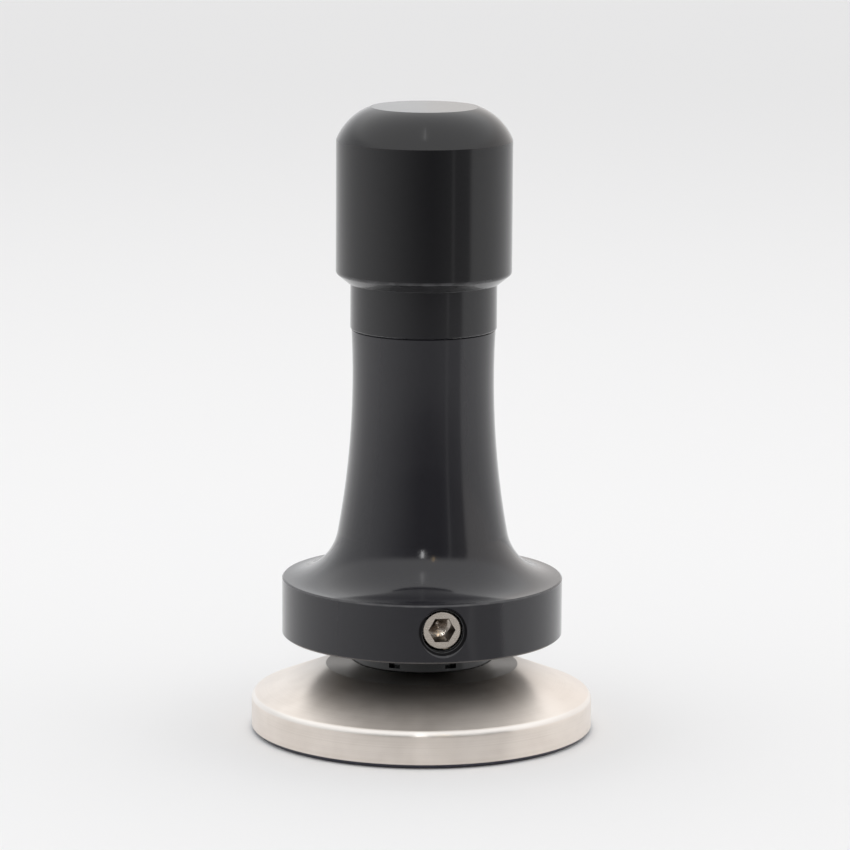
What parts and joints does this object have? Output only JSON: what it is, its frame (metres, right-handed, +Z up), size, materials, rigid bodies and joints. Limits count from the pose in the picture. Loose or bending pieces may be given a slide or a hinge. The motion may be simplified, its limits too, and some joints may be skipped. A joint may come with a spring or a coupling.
{
  "type": "espresso tamper",
  "caption": "Spring-loaded espresso tamper: flat steel tamping base, black flanged handle that slides down over the stem, and a domed knob that sets the spring's preload.",
  "frame": {"origin": "centre of the flat tamping face that the tamper stands on", "axes": "+Z up along the tamper's axis, from the tamping face to the cap; -Y towards the grub screw in the flange"},
  "size_m": [0.0584, 0.0584, 0.1074],
  "materials": {
    "stainless": "fine turned stainless steel",
    "bright_steel": "bright nickel-plated steel",
    "hardened_steel": "dark hardened steel",
    "spring_steel": "drawn spring steel",
    "black_anodised": "satin black anodised, turned",
    "bronze": "turned bronze or brass",
    "seal_rubber": "nitrile rubber"
  },
  "bodies": {
    "base": {"tamping_base": "stainless", "stem": "stainless", "base_seal": "seal_rubber", "main_spring": "spring_steel"},
    "handle": {"bell_body": "black_anodised", "guide_nut": "black_anodised", "guide_bush": "bronze", "stem_wiper": "seal_rubber", "stop_washer": "stainless", "anti_rotation_pin": "hardened_steel", "neck_sleeve": "black_anodised", "friction_ring": "seal_rubber"},
    "spring_follower": {"spring_seat": "stainless", "thrust_washer": "bronze"},
    "knob": {"adjusting_screw": "bronze", "screw_circlip": "spring_steel", "cap": "black_anodised", "cap_screw": "hardened_steel"},
    "pad": {"lock_pad": "bronze"},
    "grub_screw": {"lock_screw": "bright_steel"}
  },
  "joints": [
    {"name": "press_stroke", "type": "slide", "parent": "base", "child": "handle", "axis": [0, 0, -1], "range_m": [0, 0.001], "stiffness_N_per_m": 13400, "springref_m": -0.011, "deforming": ["main_spring"]},
    {"name": "preload_travel", "type": "slide", "parent": "handle", "child": "spring_follower", "axis": [0, 0, -1], "range_m": [-0.002, 0.005], "deforming": ["main_spring"]},
    {"name": "knob_turn", "type": "hinge", "parent": "spring_follower", "child": "knob", "pos_m": [0, 0, 0.09], "axis": [0, 0, -1], "range_deg": [-720, 1800]},
    {"name": "lock_pad_travel", "type": "slide", "parent": "handle", "child": "pad", "axis": [0, -1, 0], "range_m": [0, 0.00187]},
    {"name": "lock_screw_turn", "type": "hinge", "parent": "pad", "child": "grub_screw", "pos_m": [0, -0.0175, 0.02202], "axis": [0, -1, 0], "range_deg": [0, 540]}
  ],
  "couplings": [
    {"joint": "preload_travel", "follows": "knob_turn", "m_per_rad": 0.00015915},
    {"joint": "lock_screw_turn", "follows": "lock_pad_travel", "rad_per_m": 5026.5}
  ]
}
